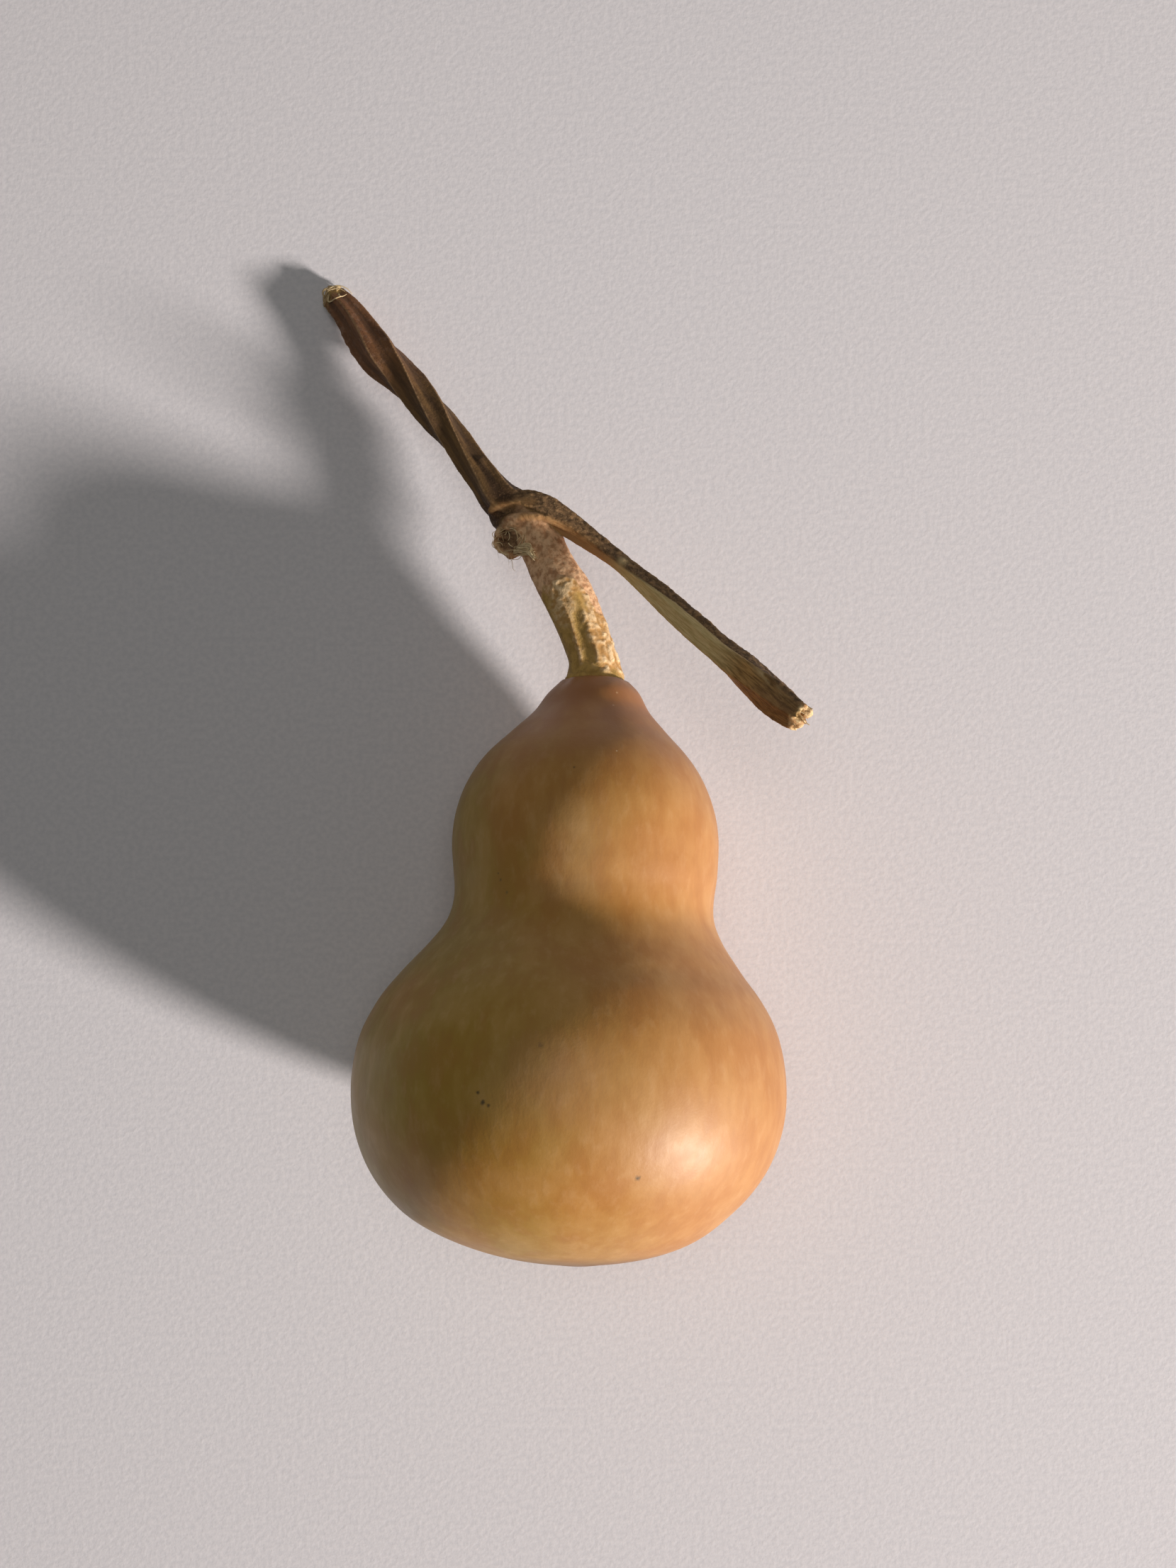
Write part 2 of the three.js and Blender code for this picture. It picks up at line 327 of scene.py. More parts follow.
def new_material(name, piece):
    """An empty node material on the piece, with its shader and output joined."""
    material = bpy.data.materials.new(name)
    material.use_nodes = True
    material.node_tree.nodes.clear()
    tree = material.node_tree
    shader = add(tree, "BsdfPrincipled")
    add(tree, "OutputMaterial", links={"Surface": shader.outputs[0]})
    piece.data.materials.clear()
    piece.data.materials.append(material)
    return tree, shader


def blend(factor, below, above):
    """A colour mix: below and above are colours as hex text or the outputs of other nodes."""
    colours = {6: below, 7: above}
    values = {k: linear(v) for k, v in colours.items() if isinstance(v, str)}
    links = {k: v for k, v in colours.items() if not isinstance(v, str)}
    return add(factor.id_data, "Mix", values, {0: factor, **links}, data_type="RGBA").outputs[2]


def roughen(shader, *layers):
    """Bumps laid one on the other as the shader's normal: each a field, a strength and a depth in mm."""
    links = {}
    for field, strength, depth in layers:
        values = {"Strength": strength, "Distance": depth * MM}
        bump = add(shader.id_data, "Bump", values, {"Height": field, **links})
        links = {"Normal": bump.outputs[0]}
    shader.id_data.links.new(bump.outputs[0], shader.inputs["Normal"])


# %% [markdown]
# The rind is a dried, cured gourd skin: woody, with a thin natural wax, so it is satin, not shiny. Its
# tan is broken by fine streaks that follow the growth from crown to blossom end, and by a red-brown flush
# at the crown. Towards the left it turns olive: partly where the green never quite dried out, partly
# painted shade on the side away from the key lamp. All patterns are laid in the fruit's own coordinates
# (`own_place`, in millimetres), where the second axis runs along the fruit.

# %% Rind material
tree, shader = new_material("cured_gourd_rind", rind)
place = add(tree, "Attribute", attribute_name="own_place").outputs["Vector"]
split = add(tree, "SeparateXYZ", links={0: place})
streak_place = add(tree, "Mapping", {"Scale": (1, 0.45, 1)}, {"Vector": place}).outputs[0]


def noise(size, source, detail=3.0, rough=0.55):
    """Noise whose blobs are about `size` across, in the units of its coordinates."""
    values = {"Scale": 1 / size, "Detail": detail, "Roughness": rough}
    return add(source.id_data, "TexNoise", values, {"Vector": source}).outputs["Fac"]


def span(source, low, high, out_low=0.0, out_high=1.0):
    """A value carried from low..high to out_low..out_high, with eased ends."""
    values = {"From Min": low, "From Max": high, "To Min": out_low, "To Max": out_high}
    node = add(source.id_data, "MapRange", values, {"Value": source}, interpolation_type="SMOOTHSTEP")
    return node.outputs[0]


def multiply(a, b):
    """The product of two values."""
    return add(a.id_data, "Math", links={0: a, 1: b}, operation="MULTIPLY").outputs[0]


blotch = noise(4.0, streak_place, 3, 0.5)
streak = noise(1.5, streak_place, 5, 0.6)
patch = noise(22.0, place, 2)
freckle = noise(0.5, place, 2)
# Olive towards the left: partly the rind's own olive, partly painted shade on the side away from the key lamp.
side = span(split.outputs["X"], -26, 24, 1.0, 0.0)
tan = blend(span(patch, 0.4, 0.62), "#bd8244", "#c28b50")
olive_and_shade_share = multiply(side, span(patch, 0.3, 0.6, 0.45, 1.0))
tan = blend(olive_and_shade_share, tan, "#9c8218")
# Thin layers over the tan: a field, the values where the layer starts and is full, its most, its colour.
skin_layers = [
    (blotch, 0.42, 0.66, 0.3, "#a96c32"), (blotch, 0.56, 0.34, 0.2, "#cfa066"),
    (streak, 0.48, 0.72, 0.13, "#e2bb8c"), (streak, 0.5, 0.3, 0.12, "#96612d"),
    (freckle, 0.6, 0.78, 0.12, "#905c2c"),
]
for field, start, full, most, colour in skin_layers:
    tan = blend(span(field, start, full, 0.0, most), tan, colour)
flush = multiply(span(split.outputs["Y"], 68, 87), span(blotch, 0.25, 0.6, 0.6, 0.95))
tan = blend(flush, tan, "#a46c3e")
blossom = span(split.outputs["Y"], 0.2, 3.0, 0.85, 0.0)
tan = blend(blossom, tan, "#6d4a26")
print("rind nodes so far:", len(tree.nodes))

# %% [markdown]
# A few marks are this fruit's own: a dark speck and a cluster on the big bulb, a greenish scrape on the
# small one, pale flecks near the crown. Each is a spot at a place on the skin, drawn by its distance.

# %% Marks on the rind
# Each mark is its x and y in mm from the picture's middle, its size, its colour and its strength.
skin_marks = [
    (6.4, -52.2, 0.62, "#4a3a20", 0.9), (-14.9, -40.7, 0.42, "#3b3218", 0.8),
    (-14.1, -41.9, 0.55, "#3b3218", 0.85), (-13.2, -42.3, 0.38, "#3b3218", 0.75),
    (-12.7, -14.0, 0.4, "#4a4a28", 0.7), (-13.3, -13.0, 0.3, "#4a4a28", 0.6),
    (-11.9, -15.6, 0.35, "#5a5a34", 0.5), (-6.1, -34.4, 0.6, "#6b4e22", 0.5),
    (4.5, 14.3, 0.3, "#d8b48a", 0.8), (3.9, 12.3, 0.28, "#d8b48a", 0.7),
    (4.1, 4.9, 0.22, "#e8cfa6", 0.8), (-1.9, 2.5, 0.3, "#4d3a22", 0.7),
]
object_place = add(tree, "TexCoord").outputs["Object"]
ripple = noise(MM / 2.2, object_place, 3.0, 0.5)
upper_half = 20.0
seen_from_above = points[points[:, 2] > upper_half]
for x, y, size, colour, strength in skin_marks:
    spot = to_row([x, y, 0])
    near = np.argmin(np.hypot(*(seen_from_above[:, :2] - spot[:2]).T) - 0.001 * seen_from_above[:, 2])
    centre = tuple((seen_from_above[near] * MM).tolist())
    gap = add(tree, "VectorMath", {1: centre}, {0: object_place}, operation="DISTANCE")
    ragged = add(tree, "Math", {1: 1.1 * size * MM}, {0: ripple}, operation="MULTIPLY")
    edge = add(tree, "Math", links={0: gap.outputs["Value"], 1: ragged.outputs[0]}, operation="ADD")
    share = span(edge.outputs[0], 1.5 * size * MM, 0.6 * size * MM, 0.0, strength)
    tan = blend(share, tan, colour)
tree.links.new(tan, shader.inputs["Base Color"])
print("marks:", len(skin_marks))

# %% [markdown]
# Dry skin is satin: a broad soft highlight, with a weak coat of natural wax over it. Two bumps, one on
# the other, give the pores and the streaks, which are far too shallow to be worth any faces.

# %% Rind gloss and grain
tree.links.new(span(noise(5.0, place, 4), 0.3, 0.7, 0.46, 0.55), shader.inputs["Roughness"])
shader.inputs["IOR"].default_value = 1.55
shader.inputs["Coat Weight"].default_value = 0.25
shader.inputs["Coat Roughness"].default_value = 0.5
pores = noise(0.35, place, 4)
roughen(shader, (pores, 0.22, 0.05), (streak, 0.4, 0.12))
print("rind nodes in all:", len(tree.nodes))

# %% [markdown]
# The stem is one piece of wood: the fruit's stalk, a swollen node, and two arms of vine that carry five
# ribs with hollows between them. Each limb is a ring of radius r carried along a smooth route. The ring
# swells on the ribs by 1 - |sin(5a/2)|, which has a sharp crest and a round hollow. The ribs turn as
# they go: the left arm is twisted by half a turn, as a climbing stem is, and the right arm by a fifth.

# %% Stem: routes and radii
stalk_axis = np.array([0, math.cos(fruit_tilt), -math.sin(fruit_tilt)])
stalk_foot = blossom_end + stalk_axis * (fruit_length + 0.05) + np.array([waist_drift + crown_drift, 0, 0])
stalk_route = [
    stalk_foot, stalk_foot + 1.6 * stalk_axis, (0.6, 20.3, 19.7), (-0.5, 23.9, 19.1), (-1.9, 27.5, 18.5),
    (-3.45, 31, 17.9), (-5.35, 34.4, 17.2), (-7, 38, 16.5), (-8.5, 41.5, 15.9), (-10.4, 45, 15.4),
]
stalk_radii = [5, 4, 3.85, 4, 4.1, 3.85, 3.7, 3.65, 3.4]
left_route = [
    (-10, 44.6, 15.6), (-14.2, 47.1, 15.1), (-17.2, 51, 14.1), (-20.2, 54.9, 12.9), (-23.1, 58.8, 11.7),
    (-26.1, 62.7, 10.6), (-29.3, 66.5, 9.3), (-32.5, 70.2, 8), (-36, 74, 6.4), (-39.3, 78.4, 4.6),
    (-42.2, 82.5, 2.9), (-44.5, 85.1, 1.7),
]
left_radii = [3, 3, 2.6, 2.35, 2.35, 2.55, 2.65, 2.8, 3.2, 2.85, 2.5, 2]
right_route = [
    (-14.2, 46.6, 15.7), (-11.1, 46.2, 16.6), (-7.9, 45.3, 17.3), (-4, 43.1, 18.1), (0.1, 39.9, 19.4),
    (4.3, 36.5, 21.3), (8.2, 32.8, 23.8), (11.9, 29, 26.7), (18.8, 21.7, 32.8), (25.45, 15, 38.9),
    (28.65, 11.65, 42), (31.05, 9.5, 44.2),
]
right_radii = [1.8, 2.3, 2, 1.6, 1.4, 1.6, 1.85, 2, 2.05, 2.35, 2.5, 2]
rib_count = 5


def stalk_turn(fraction):
    """How far the stalk's ribs have turned, in radians: a steady 0.35 over its length."""
    return 0.35 * fraction


def left_turn(fraction):
    """The left arm's turn: it starts at 0.89 and eases back by 3.05."""
    return 0.89 - 3.05 * ease(0.05, 0.9, fraction)


def right_turn(fraction):
    """The right arm's turn: a steady 0.5, and 0.7 more that eases in over its last third."""
    return 0.5 * fraction + 0.7 * ease(0.68, 1.0, fraction)


limbs = [(stalk_route, stalk_radii, stalk_turn), (left_route, left_radii, left_turn),
         (right_route, right_radii, right_turn)]
print("points on the routes:", [len(route) for route, _, _ in limbs])

# %% [markdown]
# One function makes any limb. It needs a frame at each step of the route: the direction, a level side
# and the upward square to both, so that an angle means the same all along. The last rings shrink inwards
# over a random rim, which leaves the torn end ragged and a little hollow.

# %% Stem: one limb


def square_to(heading):
    """Two unit directions square to a heading: the side, which is level, and the one above it."""
    side = unit(np.cross(heading, [0.0, 0.0, 1.0]))
    return side, np.cross(side, heading)


def limb_frame(route, samples):
    """Evenly spaced points of a route, with its direction, its side and its upward square to both."""
    dense = smooth_through(route, 1200)
    run = np.concatenate([[0], np.cumsum(np.linalg.norm(np.diff(dense, axis=0), axis=1))])
    even = np.linspace(0, run[-1], samples)
    centre = np.stack([np.interp(even, run, dense[:, k]) for k in range(3)], -1)
    along = unit(np.gradient(centre, axis=0))
    return centre, along, *square_to(along), even


def limb_radius(radii, fraction):
    """The radius at a fraction of the length, on a smooth curve through evenly spaced radii."""
    knots = np.column_stack([np.linspace(0, 1, len(radii)), radii])
    curve = smooth_through(knots, 400)
    return np.interp(fraction, curve[:, 0], curve[:, 1])


def rib_wave(angle):
    """1 on the crest of each rib, falling to 0 in the hollow, with a low second crest in the hollow."""
    phase = rib_count * angle / 2
    return 1 - np.abs(np.sin(phase)) + 0.12 * np.exp(-((np.cos(phase) / 0.14) ** 2))


def limb_rows(limb, rib_depth, swell, seed, samples=300, sides=120, torn=1.0):
    """Rows of a limb: centre + r (cos side + sin up), then rings that shrink over a torn, hollow end."""
    route, radii, turn = limb
    centre, along, side, up, run = limb_frame(route, samples)
    fraction, angle = np.meshgrid(run / run[-1], circle(sides), indexing="ij")
    turned = angle + turn(fraction)
    unrolled = np.stack([fraction * run[-1] / 5, np.cos(angle), np.sin(angle)], -1)
    uneven = 1 + 0.05 * cloud(unrolled.reshape(-1, 3), 1, seed).reshape(angle.shape)
    radius = limb_radius(radii, fraction) * uneven
    radius = radius * (1 + rib_depth * (rib_wave(angle) - 0.4)) + swell(fraction, turned)
    spoke = spokes(side[:, None], up[:, None], turned)
    rows = centre[:, None] + radius[..., None] * spoke
    rim = torn * np.random.default_rng(seed).uniform(-0.8, 0.5, sides)
    rim = (rim + np.roll(rim, 1) + np.roll(rim, 2)) / 2
    rings = []
    for share in (1.0, 0.86, 0.6, 0.3):
        sunk = (rim * share - 0.9 * (1 - share)) * min(1.0, torn)
        rings.append(centre[-1] + share * radius[-1][:, None] * spoke[-1] + sunk[:, None] * along[-1])
    return np.concatenate([rows, np.array(rings)])


def no_swell(fraction, angle):
    """Nothing added to the radius anywhere."""
    return 0 * fraction


def left_wing(fraction, angle):
    """The torn wing of bark: a ragged bump on the arm's left edge, where minus the cosine is 1."""
    ragged = 0.75 + 0.25 * np.sin(170 * fraction) + 0.2 * np.sin(97 * fraction + 1)
    near = np.exp(-(((fraction - 0.82) / 0.045) ** 2))
    return 0.4 * near * ragged * np.maximum(0, -np.cos(angle + 0.2)) ** 3


stalk_rows = limb_rows(limbs[0], 0.07, no_swell, 11, torn=0.0)
left_rows = limb_rows(limbs[1], 0.32, left_wing, 12, samples=420)
right_rows = limb_rows(limbs[2], 0.28, no_swell, 13, samples=420)
print("limb rows:", stalk_rows.shape, left_rows.shape, right_rows.shape)

# %% [markdown]
# Beside the node, a leaf stalk broke away and left a short collar with a hollow mouth: a lathed ring,
# turned to the way that the leaf stalk pointed. The node is a plain swelling. Two raised ridges cross
# it, where the arms' outer strands run together, and a web fills the fork beside them. The right arm has
# one small wart and ends in two broken lumps. These are tubes and balls that sink well into the wood.

# %% Stem: scar, node and ridges
scar_foot = np.array([-11.3, 41.8, 13.4])
scar_mouth = np.array([-12.8, 39.8, 17.5])
scar_radius = 3.0
node_centre = np.array([-13.4, 45.0, 14.6])
node_radii = np.array([3.1, 3.4, 3.0])
scar_axis = unit(scar_mouth - scar_foot)
scar_side, scar_up = square_to(scar_axis)
node_ridge = smooth_through([(-16.3, 44.6, 16.4), (-15.2, 45.3, 17.4), (-13, 45.7, 17.9), (-10.6, 46, 18.3),
                             (-8.2, 45.6, 18.7)], 60)
arm_ridge = smooth_through([(-15.6, 42.6, 15.8), (-13.7, 43.2, 17.5), (-11.3, 43.5, 18.8),
                            (-8.8, 43.5, 19.5), (-6.6, 43, 19.7), (-4.6, 42.1, 19.6), (-2.15, 40.8, 19.7),
                            (1.2, 38.7, 20.5)], 110)
web = smooth_through([(-19, 54.2, 14.3), (-17.2, 51.7, 15), (-15.1, 49.4, 15.5), (-12.6, 47.6, 16),
                      (-9.9, 46.1, 16.4)], 60)
wart = np.array([5.5, 35.5, 23.1])


def scar_rows(sides=72):
    """The collar's wall, from its foot over an uneven rim and down into the hollow."""
    height = np.linalg.norm(scar_mouth - scar_foot)
    wall = [(1.2, -1), (2.2, 0.2 * height), (2.5, 0.5 * height), (scar_radius, 0.93 * height)]
    mouth = [(scar_radius - 0.35, height + 0.1), (2, height - 0.25), (1.4, height - 0.6), (0.3, height - 0.7)]
    outline = smooth_through(wall + mouth, 60)
    angle = circle(sides)
    rough = cloud(np.column_stack([3 * np.cos(angle), 3 * np.sin(angle), 0 * angle]), 1, 21)
    radius = outline[:, :1] * (1 + 0.1 * rough)
    disc = outline[:, :1, None] * np.stack([np.cos(angle), np.sin(angle), 0 * angle], -1)
    pockets = cloud(disc.reshape(-1, 3), 0.9, 22).reshape(len(outline), sides)
    level = outline[:, 1:] + 0.35 * np.roll(rough, 9) * ease(1, height, outline[:, 1:])
    rim_row = 34
    past_rim = (np.arange(len(outline)) > rim_row)[:, None]
    level = level + 0.9 * pockets * past_rim * ease(2.9, 2.1, outline[:, :1])
    return scar_foot + radius[..., None] * spokes(scar_side, scar_up, angle) + level[..., None] * scar_axis


def ball_rows(centre, radii, sides=60):
    """An ellipsoid: its radii times the unit sphere's rows."""
    polar, angle = np.meshgrid(np.linspace(0.05, math.pi - 0.05, 40), circle(sides), indexing="ij")
    ball = np.stack([np.sin(polar) * np.cos(angle), np.sin(polar) * np.sin(angle), np.cos(polar)], -1)
    return centre + radii * ball


def tube_rows(paths, widths, sides=8, flat=1.0, taper=0.6, start=1.0):
    """Rows of a tube on every path (n, k, 3): an ellipse of width w, thinned to a point by (1 - t)^taper."""
    t = np.linspace(0, 1, paths.shape[1])
    side, up = square_to(unit(np.gradient(paths, axis=1)) + [0, 0, 1e-4])
    ring = spokes(side[:, :, None], flat * up[:, :, None], circle(sides))
    thin = np.clip(1 - t, 0.02, 1) ** taper * np.clip(start + 5 * t, 0, 1)
    return paths[:, :, None] + widths[:, None, None, None] * thin[None, :, None, None] * ring


def tip_heading(route):
    """The unit direction from a route's last point but one to its last."""
    return unit(np.subtract(route[-1], route[-2]))


left_tip, right_tip = np.array(left_route[-1]), np.array(right_route[-1])
left_end, right_end = tip_heading(left_route), tip_heading(right_route)
end_side, end_up = square_to(right_end)
left_lump = right_tip - 1.1 * end_side + 0.1 * right_end + 0.2 * end_up
right_lump = right_tip + 0.8 * end_side + 0.1 * right_end + 0.3 * end_up
end_lumps = [ball_rows(left_lump, (0.85, 0.75, 0.8)), ball_rows(right_lump, (0.75, 0.8, 0.8))]
ridge_rows = [*tube_rows(node_ridge[None] + [0, 0, 0.25], np.array([0.7]), sides=24, taper=0.25, start=0.4),
              *tube_rows(arm_ridge[None] + [0, 0, 0.15], np.array([0.82]), sides=24, taper=0.3, start=0.4),
              *tube_rows(web[None] + [0.15, 0.25, 0], np.array([1.3]), sides=24, taper=0.12, start=0.4)]
print("ridges and lumps:", len(ridge_rows), len(end_lumps))

# %% [markdown]
# All these skins pass through each other at the node. A voxel remesh fuses them into one skin, as one
# would press clay together: every point inside any of them is inside the result. It also evens out the
# faces, at a size that still holds a rib's crest. A little smoothing then removes the voxels' steps.

# %% Stem: fuse the limbs
voxel = 0.21


def outward(rows):
    """The closed grid of the rows, turned if its signed volume says that it faces inwards."""
    points, faces = closed_grid(rows)
    quads = np.array([f for f in faces if len(f) == 4])
    a, b, c, d = (points[quads[:, k]] - points[0] for k in range(4))
    volume = np.einsum("ij,ij->i", a, np.cross(b, c)).sum() + np.einsum("ij,ij->i", a, np.cross(c, d)).sum()
    return points, faces if volume > 0 else [face[::-1] for face in faces]


def joined(many_rows):
    """The points and faces of many skins in one list, measured from the row's origin."""
    all_points, all_faces, count = [], [], 0
    for rows in many_rows:
        points, faces = outward(rows)
        all_points.append(points)
        all_faces += [[number + count for number in face] for face in faces]
        count += len(points)
    return to_row(np.vstack(all_points)), all_faces


def fuse(name, many_rows):
    """One mesh of all the skins, voxel remeshed into a single closed skin."""
    rough = new_piece(name + "_rough", *joined(many_rows))
    remesh = rough.modifiers.new("fuse", "REMESH")
    remesh.mode = "VOXEL"
    remesh.voxel_size = voxel * MM
    fused = bpy.data.meshes.new_from_object(rough.evaluated_get(bpy.context.evaluated_depsgraph_get()))
    bpy.data.objects.remove(rough)
    return new_object(name, fused)


bark = fuse("vine_bark", [stalk_rows, left_rows, right_rows, scar_rows(), ball_rows(node_centre, node_radii),
                          ball_rows(wart, (0.75, 0.6, 0.6)), *end_lumps, *ridge_rows])
count = len(bark.data.vertices)
spots = np.empty(count * 3)
bark.data.vertices.foreach_get("co", spots)
spots = spots.reshape(-1, 3) / MM
edges = np.empty(len(bark.data.edges) * 2, int)
bark.data.edges.foreach_get("vertices", edges)
edges = edges.reshape(-1, 2)
both_ways = np.vstack([edges, edges[:, ::-1]])
degree = np.bincount(both_ways[:, 0], minlength=count)[:, None]


def relax(values, rounds, share=0.5):
    """Each value moves by share towards the mean of its neighbours, some rounds over."""
    for _ in range(rounds):
        total = np.stack([np.bincount(both_ways[:, 0], values[both_ways[:, 1], k], count)
                          for k in range(values.shape[1])], -1)
        values = values + share * (total / degree - values)
    return values


spots = relax(spots, 2)
print("bark vertices and faces:", count, len(bark.data.polygons))

# %% [markdown]
# The remesh forgets which limb a point came from, so each point looks up the nearest place on the three
# routes, measured in radii. That gives its limb, how far along it lies and its angle round it, which is
# what both the fine relief and the colours follow.

# %% Stem: where each point lies


def locate(points):
    """For each point: the limb's number, the run along it in mm, the fraction, and the angle round it."""
    route_samples, block_size = 240, 4000
    best = np.full(len(points), np.inf)
    limb, run, fraction, angle = (np.zeros(len(points)) for _ in range(4))
    for number, (route, radii, _) in enumerate(limbs):
        centre, along, side, up, even = limb_frame(route, route_samples)
        centre = to_row(centre)
        radius = limb_radius(radii, even / even[-1])
        for block in np.array_split(np.arange(len(points)), len(points) // block_size + 1):
            distance = np.linalg.norm(points[block][:, None] - centre, axis=2) / radius
            nearest = distance.argmin(1)
            found = distance[np.arange(len(block)), nearest]
            closer = found < best[block]
            rows, near = block[closer], nearest[closer]
            away = points[rows] - centre[near]
            best[rows] = found[closer]
            limb[rows] = number
            run[rows] = even[near] + (away * along[near]).sum(1)
            fraction[rows] = run[rows] / even[-1]
            angle[rows] = np.arctan2((away * up[near]).sum(1), (away * side[near]).sum(1))
    return limb, run, fraction, angle


limb, run, fraction, angle = locate(spots)
is_stalk, is_left, is_right = (limb == k for k in range(3))
rib_angle = angle - np.choose(limb.astype(int), [turn(fraction) for _, _, turn in limbs])
print("points on stalk, left arm, right arm:", is_stalk.sum(), is_left.sum(), is_right.sum())

# %% [markdown]
# The stalk is a patchwork. Its left side is smooth and olive. Its middle and right side are covered with
# cream cork, in two long crests with a smooth recess between them. Past an edge that runs down its
# right side, the cork gives way to rough brown bark. Each share below is worked out from the run along
# the stalk in millimetres and the angle round it, where 0 is its right edge and 90 its upper face.

# %% Stalk: where the cork and the bark lie


def hump(value, middle, width):
    """A bell of height 1 at the middle that falls to about a third at one width."""
    return np.exp(-(((value - middle) / width) ** 2))


def limb_place(stretch, radius=3.0):
    """Points in the limb's own coordinates in mm: round it on a circle, and along it shortened."""
    return np.column_stack([radius * np.cos(angle) + 40 * limb, run / stretch, radius * np.sin(angle)])


def spread(values, rounds=14):
    """One value a point, or a yes-or-no mask, evened out between neighbours some rounds over."""
    return relax(np.asarray(values, float)[:, None], rounds)[:, 0]


degrees = np.degrees(angle)
across = np.cos(angle)
rough_edge = cloud(limb_place(1.6), 1.3, 31) + 0.6 * cloud(limb_place(1.2), 0.6, 32)
bark_edge = 17.5 - 8.5 * ease(0.35, 1.0, across) + 1.1 * rough_edge
bark_share = ease(-0.5, 0.5, run - bark_edge)
recess = hump(degrees, 96 - 0.6 * (run - 8), 9) * ease(2.8, 4.2, run) * (1 - ease(11, 13, run))
first_crest = hump(degrees, 113 - 0.9 * (run - 8), 4.5) * ease(2.2, 4, run) * (1 - ease(13, 15, run))
second_crest = hump(degrees, 76 - 0.5 * (run - 8), 5) * ease(1.0, 3, run) * (1 - ease(12, 15, run))
right_cork = ease(-0.05, 0.35, across + 0.22 * rough_edge)
upper_cork = ease(9.5, 12.5, run + 1.2 * rough_edge) * ease(-0.95, -0.6, across + 0.15 * rough_edge)
flecks = ease(0.45, 0.62, cloud(limb_place(1), 0.45, 39)) * ease(-0.95, -0.5, across)
cork = np.maximum.reduce([right_cork, 0.9 * upper_cork, first_crest, second_crest, 0.8 * flecks])
cork = cork * (1 - 0.95 * recess) * (1 - bark_share) * ease(0.4, 1.6, run + 0.5 * rough_edge) * is_stalk
edge_lip = hump(run - bark_edge, -0.3, 0.45) * ease(-0.9, -0.5, across) * is_stalk
holes = ease(0.25, 0.6, cloud(limb_place(1.3), 1.9, 40)) * ease(10, 12, run)
cork = cork * (1 - 0.85 * holes)
print("points under cork:", (cork > 0.5).sum())

# %% [markdown]
# On the right arm, a rough dark bark covers the upper face and stops along a line, with a groove beside
# it that is darkened with painted shade. Under the line the stem is smooth and olive. Towards the arm's
# end the line fades into long stripes. The ridges and crests are paler, and the torn ends are straw-coloured.

# %% Arms: where the smooth and the rough faces lie
stalk_share = spread(is_stalk)
from_node = np.linalg.norm((spots - to_row(node_centre)) / (1.25 * node_radii), axis=1)
node_share = 1 - ease(0.8, 1.5, from_node + 0.12 * cloud(spots, 1.2, 41))
line_degrees = 60 + 60 * ease(0.3, 0.66, fraction) + 5 * cloud(limb_place(2.5), 0.9, 42)
above_line = np.where(np.abs(degrees) > 90, np.sign(degrees) * degrees, degrees) - line_degrees
smooth_face = (1 - ease(-5, 5, above_line)) * ease(-75, -45, degrees) * is_right
smooth_face = smooth_face * (1 - 0.55 * ease(0.8, 0.95, fraction))
# The groove beside the line is cut into the relief; its dark colour, through the hollow share, is painted
# shade.
line_groove = hump(above_line, 7, 5) * ease(0.38, 0.5, fraction) * (1 - ease(0.82, 0.92, fraction)) * is_right
line_lip = hump(above_line, -4, 4) * ease(0.3, 0.4, fraction) * (1 - ease(0.8, 0.9, fraction)) * is_right


def nearness(path, reach):
    """1 on a path, falling off over the reach: a bell of the distance to its nearest point."""
    gap = np.full(len(spots), np.inf)
    for place in to_row(path):
        gap = np.minimum(gap, np.linalg.norm(spots - place, axis=1))
    return np.exp(-((gap / reach) ** 2))


ridge = np.maximum(0.85 * nearness(node_ridge[8:-6] + [0, 0, 0.85], 0.75),
                   nearness(arm_ridge[34:] + [0, -0.15, 0.75], 0.68))
# Painted shade: a dark crease between the node's ridge and the arm's ridge, through the hollow share.
crease_shade = nearness(arm_ridge[8:80] + [0.3, 0.95, 0.4], 0.55)
wart_share = nearness(wart[None] + [0, 0, 0.3], 0.8)
crest = rib_wave(rib_angle) * (1 - 0.8 * stalk_share)
print("points on the smooth face:", (smooth_face > 0.5).sum())

# %% [markdown]
# The relief is a real change of height, made along each point's normal: crumbly cork of up to four
# tenths of a millimetre, crests and grooves, grainy bark, and fine lines along the grain.

# %% Stem: fine relief
crumbs = 0.42 + 0.45 * cloud(limb_place(1.3), 0.5, 33) + 0.35 * cloud(limb_place(1.0), 0.28, 34)
grains = 0.4 + 0.4 * cloud(limb_place(1.6), 0.42, 43) + 0.3 * cloud(limb_place(1.3), 0.25, 44)
groove = cloud(limb_place(9), 0.34, 35)
grain = cloud(limb_place(14), 0.9, 36)
rough_bark = np.clip(bark_share * is_stalk + is_right * (1 - smooth_face) + 0.6 * node_share, 0, 1)
height = 0.3 * cork * (crumbs - 0.35) + 0.12 * cork - 0.2 * recess * is_stalk
height += 0.16 * (first_crest + second_crest) * is_stalk + 0.14 * edge_lip * (0.4 + crumbs)
height += 0.2 * spread(rough_bark, 4) * (grains - 0.3) - 0.22 * line_groove + 0.1 * line_lip
height += 0.04 * groove * (1 - cork) + 0.06 * grain * (1 - stalk_share) + 0.25 * wart_share * (crumbs - 0.3)
torn_from = np.where(is_left, 0.968, 0.982)
torn_end = np.where(is_stalk, 0, ease(torn_from, 1.0, fraction + 0.014 * cloud(spots, 0.6, 38)))
height += 0.3 * torn_end * (grains - 0.3) + 0.03 * cloud(spots, 0.5, 37)
height = spread(height, 1)
bark.data.vertices.foreach_set("co", (spots * MM).ravel())
bark.data.update()
normals = np.empty(count * 3)
bark.data.vertex_normals.foreach_get("vector", normals)
spots = spots + height[:, None] * normals.reshape(-1, 3)
